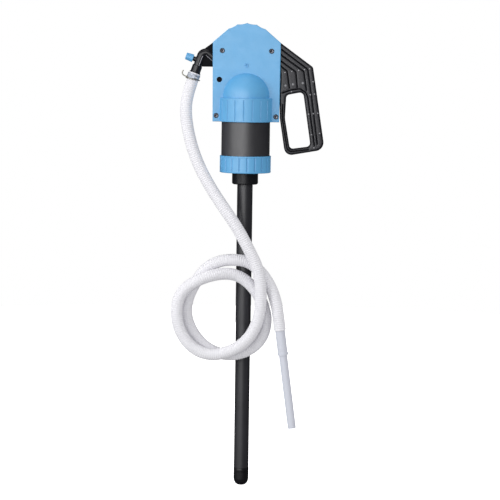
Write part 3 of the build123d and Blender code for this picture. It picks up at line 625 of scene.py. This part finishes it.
def flute_angles():
    """Angles all round, close together at each flute."""
    half = FLUTE_HALF / NUT_R
    offsets = [half * k / 3 for k in range(-3, 4)]
    offsets += [half + (FLUTE_GAP - 2 * half) * k / 6 for k in range(1, 6)]
    return sorted(
        (FIRST_FLUTE + FLUTE_GAP * i + offset) % (2 * math.pi) for i in range(FLUTES) for offset in offsets)


def build_nut():
    """The fluted nut that clamps the barrel, with a plain band at both ends."""
    band_low, band_high = NUT_FOOT + NUT_LIP_H, NUT_TOP - NUT_LIP_H

    def flute(angle, radius, height):
        if radius < NUT_R - 1.2 or not band_low + 0.6 < height < band_high - 0.5:
            return 0.0
        off = (angle - FIRST_FLUTE + FLUTE_GAP / 2) % FLUTE_GAP - FLUTE_GAP / 2
        share = min(1.0, abs(off) * NUT_R / FLUTE_HALF)
        return FLUTE_DEPTH * (1 - smooth_step(share))

    lip_r, neck_r, bore_r = NUT_R + NUT_LIP, BUNG_R + 1, NUT_BORE + 0.1
    profile = rounded_loop(
        [(neck_r, NUT_FOOT), (lip_r, NUT_FOOT), (lip_r, band_low), (NUT_R, band_low + 0.6),
         (NUT_R, band_high - 0.6), (lip_r, band_high), (lip_r, NUT_TOP), (bore_r, NUT_TOP),
         (bore_r, NUT_FLOOR), (neck_r, NUT_FLOOR)],
        [0.5, 2.2, 0.3, 0.3, 0.3, 0.3, 1.6, 0.8, 0.5, 0.5], step=3)
    bm = new_mesh()
    # The flutes get painted shade by their depth.
    turned(bm, profile, flute_angles(), dent=flute)
    nut = piece_from("clamp_nut", bm, "head_plastic", "head", smooth_angle=60)
    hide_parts("barrel_nut")


build_nut()

# ---------------------------------------------------------------- foot strainer
FOOT_R, FOOT_TOP, FOOT_END = 17.6, -692.0, -733.4
SHOULDER_Z, TIP_R = -717.9, 6.0      # where the rounded end starts, its flat tip
SEAM_Z, SEAM_DEPTH = -700.5, 0.9     # the line between collar and cap
FOOT_WALL = 2.2
MESH_ROWS, MESH_COLUMNS, DIMPLE_DEPTH = 11, 48, 0.9


def build_strainer():
    """A plain collar over a cap with staggered rows of dimples for its mesh."""
    shoulder = []
    for k in range(1, 13):
        a = math.pi / 2 * k / 12
        radius = TIP_R + (FOOT_R - TIP_R) * math.sin(a) ** 0.85
        shoulder.append((radius, SHOULDER_Z - (SHOULDER_Z - FOOT_END) * math.cos(a) ** 1.2))
    side_run = SEAM_Z - 0.8 - SHOULDER_Z
    inner_r, seam_r = FOOT_R - FOOT_WALL, FOOT_R - SEAM_DEPTH
    outline = [(0, FOOT_END), (TIP_R - 1.5, FOOT_END), (TIP_R, FOOT_END + 0.5), *shoulder]
    outline += [(FOOT_R, SHOULDER_Z + side_run * k / 20) for k in range(1, 21)]
    outline += [(seam_r, SEAM_Z - 0.4), (seam_r, SEAM_Z + 0.4), (FOOT_R, SEAM_Z + 0.8)]
    outline += [(FOOT_R, FOOT_TOP - 0.5), (FOOT_R - 0.5, FOOT_TOP), (inner_r, FOOT_TOP)]
    outline += [(inner_r, SHOULDER_Z), (TIP_R - FOOT_WALL, FOOT_END + FOOT_WALL), (0, FOOT_END + FOOT_WALL)]

    def mesh_dimples(angle, radius, height):
        if radius < FOOT_R - 9 or height > SEAM_Z - 1.5:
            return 0.0
        row = (SEAM_Z - height) / (SEAM_Z - FOOT_END) * MESH_ROWS
        turn = angle / (2 * math.pi) * MESH_COLUMNS / 2 + 0.5 * (int(row) % 2)
        bump = math.sin(math.pi * (row % 1)) * abs(math.sin(math.pi * turn))
        return DIMPLE_DEPTH * max(0.0, bump - 0.35)

    bm = new_mesh()
    turned(bm, outline, even_angles(MESH_COLUMNS * 4), dent=mesh_dimples)
    foot = piece_from("foot_cap", bm, "black_plastic", "head", smooth_angle=60)
    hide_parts("foot_strainer")


build_strainer()

# ---------------------------------------------------------------- spout
FLANGE = Vector((-118.1, 0, 232.4))  # stop flange, at the foot of the outer leg
LEG_TILT, INNER_TILT = math.radians(19), math.radians(49.6)   # the two legs against upright
LEG = Vector((math.sin(LEG_TILT), 0, math.cos(LEG_TILT)))
OUTWARD = Vector((-math.cos(LEG_TILT), 0, math.sin(LEG_TILT)))
INNER = Vector((-math.sin(INNER_TILT), 0, math.cos(INNER_TILT)))
SPOUT_R, SPOUT_FOOT, OUTLET_X = 9.5, 149.0, -36.0             # the pipe, and where it stands
INNER_BEND_R, CROWN_R = 24.0, 12.0
FLANGE_R, COLLAR_R, COLLAR_TOP, BARB_R = 12.8, 11.4, 15.6, 10.4
ENTRY = Vector((-78, 0, 267))        # a point on the inner leg's axis, at the covers' edge
BARB_END = -27.0                     # the pipe's end inside the hose, down from the flange
VENT = 27.5                          # how far up the leg the vent knob stands
RIDGE_R = 0.9
WEB_HALF = 4.2                       # half the web's thickness


def leg_point(distance, out=0.0):
    """A point up the outer leg from the stop flange, and out towards the vent knob."""
    return FLANGE + LEG * distance + OUTWARD * out


def seen_flat(point):
    """The point in the XZ plane."""
    return Vector((point.x, point.z))


def leg_ridge(bm, start, end, out):
    """A thin raised line along a leg of the pipe, front and back, out from the leg's axis."""
    for side in (-1, 1):
        lift = Vector((0, side * math.sqrt(SPOUT_R ** 2 - out ** 2), 0))
        line = [(start.lerp(end, k / 12) + lift) * MM for k in range(13)]
        tube_along(bm, line, lambda i: RIDGE_R * MM, 12)


def build_web():
    """The flat web that fills the bend and runs into the covers."""
    bm = new_mesh()
    outline = rounded_loop(
        [(-64, 244.6), (-64, 310.5), (-75.7, 302.1), (-104, 281.1), (-110.6, 268), (-116.5, 250),
         (-106, 244.6)],
        [0, 0, 0, 8, 6, 0, 0], step=1.6)
    plate(bm, outline, [], -WEB_HALF, WEB_HALF, 1.4, pitch=4)
    # The web gets the darker, nearly unreflecting black as painted shade.
    web = piece_from("spout_web", bm, "shaded_black", "head", smooth_angle=45)


def build_spout():
    """The bent pipe with its stop flange, collar, vent neck and foot, and a moulding ridge on each leg
    painted pale as a highlight.
    """
    across = Vector((-math.cos(INNER_TILT), 0, -math.sin(INNER_TILT)))
    inner_foot = ENTRY - INNER * ((OUTLET_X - ENTRY.x) / math.sin(INNER_TILT))
    gap = ENTRY - FLANGE
    reach = gap.x * math.cos(INNER_TILT) + gap.z * math.sin(INNER_TILT)
    crown = leg_point(reach / math.sin(LEG_TILT + INNER_TILT))
    corners = [Vector((OUTLET_X, 0, SPOUT_FOOT)), inner_foot, crown, leg_point(BARB_END + 2)]
    line = rounded_loop(
        [seen_flat(p) for p in corners], [0, INNER_BEND_R, CROWN_R, 0], step=1.5, closed=False)
    bm = new_mesh()
    tube_along(bm, [Vector((p.x, 0, p.y)) * MM for p in line], lambda i: SPOUT_R * MM, 40)
    plain = set(bm.verts)
    leg_ridge(bm, leg_point(16, -3.0), leg_point(40.5, -4.0), 3.4)
    leg_ridge(bm, crown - INNER * 14 + across * 7.2, crown - INNER * 44 + across * 7.2, 7.2)
    # The ridges are painted pale: a painted highlight.
    painted_highlight = bm.verts.layers.float["painted_highlight"]
    for vert in set(bm.verts) - plain:
        vert[painted_highlight] = 1.0
    sleeve = rounded_loop(
        [(0, 0), (FLANGE_R, 0), (FLANGE_R, -3), (BARB_R, -3), (BARB_R - 0.2, BARB_END), (0, BARB_END)],
        [0, 0.6, 0.6, 0.3, 1, 0], step=2)
    turned(bm, sleeve, even_angles(64), FLANGE, LEG)
    collar = rounded_loop(
        [(0, -0.2), (COLLAR_R, -0.2), (COLLAR_R, COLLAR_TOP - 1), (COLLAR_R - 0.8, COLLAR_TOP),
         (0, COLLAR_TOP)],
        [0, 0.3, 0.9, 0.6, 0], step=2)
    turned(bm, collar, even_angles(64), FLANGE, LEG)
    neck = rounded_loop([(0, 5), (6.2, 5), (5.4, 14.9), (0, 14.9)], [0, 0.3, 0.8, 0], step=2)
    turned(bm, neck, even_angles(48), leg_point(VENT), OUTWARD)
    boss = rounded_loop([(0, 143.5), (10.6, 143.5), (10.6, 149.5), (0, 149.5)], [0, 0.5, 0.5, 0])
    turned(bm, boss, even_angles(48), (OUTLET_X, 0, 5.6))
    spout = piece_from("hooked_spout", bm, "spout_plastic", "head", smooth_angle=45)
    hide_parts("outlet_spout")


build_spout()
build_web()

# ---------------------------------------------------------------- cover screws
SCREWS = [(-56, 282), (57, 282), (-68.6, 133.4), (68.8, 132)]
FACE_Y, SEAT_DEPTH = 22.0, 1.6       # outer face of each cover, seat of a screw head in it
HEAD_R, HEAD_H, SOCKET_R, SOCKET_DEPTH = 5.4, 2.6, 2.5, 2.2
THREAD_R = 2.0


def build_screws():
    """Domed heads with a hexagon socket in front, thread ends through the nuts at the back."""
    floor = HEAD_H - SOCKET_DEPTH
    head = rounded_loop(
        [(0, -1), (HEAD_R, -1), (HEAD_R, HEAD_H), (SOCKET_R + 0.9, HEAD_H), (SOCKET_R + 0.5, HEAD_H - 0.5),
         (SOCKET_R, HEAD_H - 0.6), (SOCKET_R, floor), (0, floor)],
        [0, 0.2, 1.3, 0.2, 0.2, 0.1, 0.1, 0], step=0.6)
    thread = rounded_loop([(0, 0), (THREAD_R, 0), (THREAD_R, 2.8), (THREAD_R - 0.5, 3.0), (0, 3.0)], 0)

    def facets(angle, radius, height):
        if radius > SOCKET_R + 0.3 or height < floor - 0.1 or radius < 0.1:
            return 0.0
        return radius * (1 - math.cos(math.pi / 6) / math.cos((angle % (math.pi / 3)) - math.pi / 6))

    bm = new_mesh()
    for x, z in SCREWS:
        turned(bm, head, even_angles(48), (x, SEAT_DEPTH - FACE_Y, z), (0, -1, 0), dent=facets)
        turned(bm, thread, even_angles(24), (x, FACE_Y, z), (0, 1, 0))
    # A pale ring round each socket, on the front only: a painted highlight.
    painted_highlight = bm.verts.layers.float["painted_highlight"]
    for vert in bm.verts:
        near = min(math.hypot(vert.co.x / MM - x, vert.co.z / MM - z) for x, z in SCREWS)
        vert[painted_highlight] = 1.0 if SOCKET_R - 0.3 < near < SOCKET_R + 1.2 and vert.co.y < 0 else 0.0
    screws = piece_from("screw_heads", bm, "dark_steel", "head", smooth_angle=35)
    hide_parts("cover_screws")


build_screws()

# ---------------------------------------------------------------- pivot caps and moulding studs
PIN_CAP_R = 6.0
STUD, STUD_R = (0, 249), 4.6


def build_pivot_caps():
    """Black dished caps over the two ends of the lever's pin."""
    cap = rounded_loop(
        [(0, -1.5), (PIN_CAP_R, -1.5), (PIN_CAP_R, 0.9), (PIN_CAP_R - 1.3, 0.9), (PIN_CAP_R - 2.2, 0.2),
         (0, 0.1)],
        [0, 0.1, 0.5, 0.3, 0.3, 0], step=0.6)
    bm = new_mesh()
    for side in (-1, 1):
        turned(bm, cap, even_angles(56), (PIVOT.x, side * FACE_Y, PIVOT.y), (0, side, 0))
    # The caps take the darker, nearly unreflecting black as painted shade.
    caps = piece_from("pivot_caps", bm, "shaded_black", "head", smooth_angle=40)


def build_studs():
    """The small ringed gate marks above the domes, with painted shade in the ring's groove."""
    stud = rounded_loop(
        [(0, -0.8), (STUD_R + 0.6, -0.8), (STUD_R, 1.0), (STUD_R - 1.6, 1.0), (STUD_R - 2.2, 0.1),
         (1.8, 0.1), (1.3, 1.0), (0, 1.2)],
        [0, 0.1, 0.4, 0.3, 0.2, 0.2, 0.4, 0], step=0.5)
    bm = new_mesh()
    for side in (-1, 1):
        turned(bm, stud, even_angles(48), (STUD[0], side * FACE_Y, STUD[1]), (0, side, 0))
    painted_shade = bm.verts.layers.float["painted_shade"]
    for vert in bm.verts:
        in_groove = abs(vert.co.y) < (FACE_Y + 0.45) * MM
        vert[painted_shade] = 0.75 if in_groove else 0.0
    studs = piece_from("gate_studs", bm, "head_plastic", "head", smooth_angle=40)


build_pivot_caps()
build_studs()

# ---------------------------------------------------------------- vent knob
KNOB_START, KNOB_END = 15.2, 32.6    # out from the spout's leg
KNOB_R, KNOB_TIP_R = 9.1, 8.0
KNOB_LOBES, LOBE_DEPTH = 10, 0.45


def build_knob():
    """The lobed knob of the vent, on its own body."""
    def lobes(angle, radius, height):
        if radius < KNOB_TIP_R - 1.2 or height < KNOB_START + 2.2:
            return 0.0
        return LOBE_DEPTH * (0.5 - 0.5 * math.cos(KNOB_LOBES * angle)) ** 3

    profile = rounded_loop(
        [(0, KNOB_START), (KNOB_R, KNOB_START), (KNOB_R - 0.1, KNOB_START + 2.4), (KNOB_TIP_R, KNOB_END),
         (0, KNOB_END)],
        [0, 0.7, 0.3, 1.8, 0], step=1.2)
    bm = new_mesh()
    # The lobes get painted shade by their depth.
    turned(bm, profile, even_angles(KNOB_LOBES * 14), leg_point(VENT), OUTWARD, dent=lobes)
    knob = piece_from("vent_cap", bm, "head_plastic", "vent_knob", smooth_angle=55)
    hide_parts("vent_knob")


build_knob()

# ---------------------------------------------------------------- hose clamp
HOSE_R = 14.0
BAND_TILT = math.radians(22)
BAND_TOP, BAND_FOOT = -5.4, -16.8    # heights along the band's axis, from the flange
EAR_HALF, EAR_REACH, EAR_MIDDLE = 3.5, 7.0, -11.0             # half width, out of the hose, height
WIRE_R, WIRE_DROP = 1.3, -17.2
WIRE_START, WIRE_SWEEP = math.radians(20), math.radians(-300)
WIRE_SLOPE = 1.6                     # how far the round of wire rises on one side
WIRE_HOOK = [
    (-137, -9, 221.6), (-143.2, -6, 223.8), (-146.9, -4, 226.4), (-148.1, -3, 230.5), (-146.6, -3, 234.6),
    (-145.1, -3, 236.3),
]


def build_clamp():
    """The beaded band round the hose, with the ear that its screw draws shut."""
    inner, middle, edge, bead = HOSE_R - 0.1, HOSE_R + 0.6, HOSE_R + 0.7, HOSE_R + 1.0
    band = rounded_loop(
        [(inner, BAND_TOP), (edge, BAND_TOP), (bead, -7), (middle, -8.6), (middle, -13.4), (bead, -15),
         (edge, BAND_FOOT), (inner, BAND_FOOT)],
        [0.1, 0.3, 0.5, 0.5, 0.5, 0.5, 0.3, 0.1], step=1)
    bm = new_mesh()
    turned(bm, band, even_angles(96), FLANGE, (math.sin(BAND_TILT), 0, math.cos(BAND_TILT)))
    ear = rounded_loop(
        [(EAR_HALF, 4.5), (EAR_HALF, -4.5), (-EAR_HALF, -4.5), (-EAR_HALF, 4.5)], 1.2, step=1)
    side, _, ahead = axes_for(LEG)
    loops = []
    for depth, share in ((0.0, 1.0), (EAR_REACH - 0.6, 1.0), (EAR_REACH, 0.86)):
        centre = FLANGE + ahead * EAR_MIDDLE + Vector((0, -HOSE_R - depth, 0))
        loops.append([bm.verts.new((centre + (side * p.x + ahead * p.y) * share) * MM) for p in ear])
    join_rings(bm, loops)
    piece = piece_from("clamp_band", bm, "zinc_steel", "head", smooth_angle=40)
    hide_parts("hose_clamp_band")


def build_clamp_wire():
    """Most of a round of wire about the hose below the band, ending in a hook."""
    side, other, ahead = axes_for(LEG)
    line = []
    for k in range(49):
        angle = WIRE_START + WIRE_SWEEP * k / 48
        out = side * math.cos(angle) + other * math.sin(angle)
        middle = leg_point(WIRE_DROP) + ahead * (WIRE_SLOPE * math.cos(angle))
        line.append(middle + out * (HOSE_R + WIRE_R + 0.6))
    line += [Vector(p) for p in WIRE_HOOK]
    halved = []
    for a, b in zip(line, line[1:]):
        halved += [a * MM, a.lerp(b, 0.5) * MM]
    halved.append(line[-1] * MM)
    bm = new_mesh()
    tube_along(bm, halved, lambda i: WIRE_R * MM, 12, across=LEG)
    wire = piece_from("clamp_wire", bm, "brass_wire", "head", smooth_angle=60)


build_clamp()
build_clamp_wire()

# ---------------------------------------------------------------- hose
RIB_PITCH, RIB_DEPTH, RIB_STEPS = 0.0048, 0.0007, 8           # metres, metres, rings for each rib
# Points of the hose's axis in millimetres.  The turns lie at two depths, one against the other.
HOSE_ROUTE = [
    # from the spout down to the coil, and down its right side in front
    (-119.1, 0, 229.6), (-131, -2, 193), (-138.5, -8, 150), (-133, -15, 101), (-120, -23, 53),
    (-101, -31, 8), (-75, -41, -37), (-44, -51, -82), (-14, -58, -126), (14, -59.5, -177),
    (30, -59.5, -211), (38, -59.5, -246), (40, -59.5, -281), (38, -59.5, -314), (30, -59.5, -346),
    (14, -59.5, -375),
    # the front turn: along the bottom, up the left, back over the top
    (-10, -59.5, -397), (-38, -59.5, -410), (-67, -59.5, -416), (-98, -59.5, -410), (-126, -59.5, -390),
    (-146, -59.5, -358), (-153, -59.5, -322), (-149, -59.5, -289), (-133, -59.5, -263), (-106, -59.5, -245),
    (-76, -54, -234), (-44, -42, -230), (-16, -33, -235), (9, -32, -250), (32, -32, -276),
    # the back turn
    (47, -32, -307), (53, -32, -340), (45, -32, -376), (22, -32, -403), (-12, -32, -418),
    (-50, -32, -418), (-86, -32, -402), (-115, -32, -370), (-131, -32, -330), (-128, -32, -289),
    (-110, -32, -251), (-86, -32, -219), (-54, -32, -202), (-20, -32, -199), (10, -32, -204),
    # the end that carries the nozzle
    (39, -32, -226), (61, -41, -257), (74, -47, -290), (81, -51, -324), (85.6, -51, -358.6),
]


def route_curve(name, points):
    """The route as one open NURBS spline, in metres.

    Each control point is pulled out by an eighth of its bend, so that the spline runs close to the points.
    """
    points = [Vector(point) for point in points]
    bends = [(2 * here - before - after) / 8 for before, here, after in zip(points, points[1:], points[2:])]
    points[1:-1] = [here + bend for here, bend in zip(points[1:-1], bends)]
    curve = bpy.data.curves.new(name, "CURVE")
    curve.dimensions = "3D"
    spline = curve.splines.new("NURBS")
    spline.points.add(len(points) - 1)
    for control, point in zip(spline.points, points):
        control.co = (*(point * MM), 1)
    spline.order_u = 3
    spline.use_endpoint_u = True
    spline.resolution_u = 24
    return curve


def spline_points(curve):
    """Points read from the spline itself, through a short-lived object."""
    holder = bpy.data.objects.new("route", curve)
    bpy.context.scene.collection.objects.link(holder)
    bpy.context.view_layer.update()
    mesh = bpy.data.meshes.new_from_object(holder)
    points = [v.co.copy() for v in mesh.vertices]
    bpy.data.objects.remove(holder)
    return points


def even_points(points, step):
    """The same line at an even spacing, and its length."""
    total = sum((b - a).length for a, b in zip(points, points[1:]))
    count = max(2, round(total / step))
    spacing = total / count
    out, travelled, target = [points[0]], 0.0, spacing
    for a, b in zip(points, points[1:]):
        run = (b - a).length
        while target <= travelled + run + 1e-12 and len(out) < count:
            out.append(a.lerp(b, (target - travelled) / run))
            target += spacing
        travelled += run
    out.append(points[-1])
    return out, total


def build_hose():
    """One ribbed cord from the spout's flange to the nozzle's cuff."""
    line, length = even_points(spline_points(route_curve("hose_route", HOSE_ROUTE)), RIB_PITCH / RIB_STEPS)
    print("hose length", round(length, 4), "points", len(line))

    def valley(i):
        return 0.5 - 0.5 * math.cos(2 * math.pi * i / RIB_STEPS)

    bm = new_mesh()
    # The valleys between the ribs get painted shade.
    tube_along(bm, line, lambda i: HOSE_R * MM - RIB_DEPTH * valley(i), 30, shade_at=valley)
    hose = piece_from("delivery_hose", bm, "hose_plastic", "head", smooth_angle=80)
    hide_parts("hose_upper", "hose_coil", "hose_tail")


build_hose()


# ---------------------------------------------------------------- light and floor
BODY_MIDDLE = (0, 0, -0.1)


def softbox(name, place, size, power, target=BODY_MIDDLE, glossy=True, diffuse=True):
    """A soft rectangular light.  It can be kept out of the gloss, or give gloss alone."""
    data = bpy.data.lights.new(name, "AREA")
    data.shape = "RECTANGLE"
    data.size, data.size_y = size
    data.energy = power
    light = bpy.data.objects.new(name, data)
    light.location = place
    light.rotation_euler = (Vector(target) - Vector(place)).to_track_quat("-Z", "Y").to_euler()
    light.visible_glossy = glossy
    light.visible_diffuse = diffuse
    bpy.context.scene.collection.objects.link(light)


softbox("key", (-3.0, -2.0, 0.8), (1.8, 3.0), 80)
softbox("gloss", (-1.2, -3.9, 0.7), (3.0, 2.6), 165, diffuse=False)
softbox("front", (-0.2, -4.2, 0.5), (2.0, 2.0), 26, glossy=False)
softbox("fill", (3.0, -2.0, 0.4), (1.4, 3.0), 26, glossy=False)
softbox("top", (-0.3, -0.6, 2.8), (1.8, 1.8), 16, target=(0, 0, 0))

# The world is white to the camera, half as bright on matt surfaces, and nearly dark in gloss.
world = bpy.data.worlds.new("studio")
world.use_nodes = True
sky = world.node_tree
background = sky.nodes["Background"]
background.inputs["Color"].default_value = (1, 1, 1, 1)
rays = sky.nodes.new("ShaderNodeLightPath")
seen = sky.nodes.new("ShaderNodeMapRange")
seen.inputs["To Min"].default_value = 0.06     # what gloss sees of it
seen.inputs["To Max"].default_value = 1.0
shading = sky.nodes.new("ShaderNodeMath")
shading.operation = "MULTIPLY_ADD"
shading.inputs[1].default_value = 0.5          # added for diffuse rays
sky.links.new(rays.outputs["Is Camera Ray"], seen.inputs["Value"])
sky.links.new(rays.outputs["Is Diffuse Ray"], shading.inputs[0])
sky.links.new(seen.outputs["Result"], shading.inputs[2])
sky.links.new(shading.outputs["Value"], background.inputs["Strength"])
bpy.context.scene.world = world
bpy.context.scene.view_settings.view_transform = "Standard"


FLOOR_R, FLOOR_GAP = 3.2, 0.002


def studio_floor():
    """A plain pale round floor just under the foot of the pump."""
    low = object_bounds()[0].z - FLOOR_GAP
    bm = bmesh.new()
    bm.faces.new([bm.verts.new((p.x, p.y, low)) for p in circle_points((0, 0), FLOOR_R, parts=96)])
    mesh = bpy.data.meshes.new("floor")
    bm.to_mesh(mesh)
    bm.free()
    floor = bpy.data.objects.new("floor", mesh)
    bpy.context.scene.collection.objects.link(floor)
    material, _, shader = node_tree("floor")
    shader.inputs["Base Color"].default_value = (0.95, 0.95, 0.95, 1)
    shader.inputs["Roughness"].default_value = 0.9
    shader.inputs["Emission Color"].default_value = (1, 1, 1, 1)
    shader.inputs["Emission Strength"].default_value = 1.0
    mesh.materials.append(material)
    floor.visible_diffuse = False
    floor.visible_glossy = False


studio_floor()
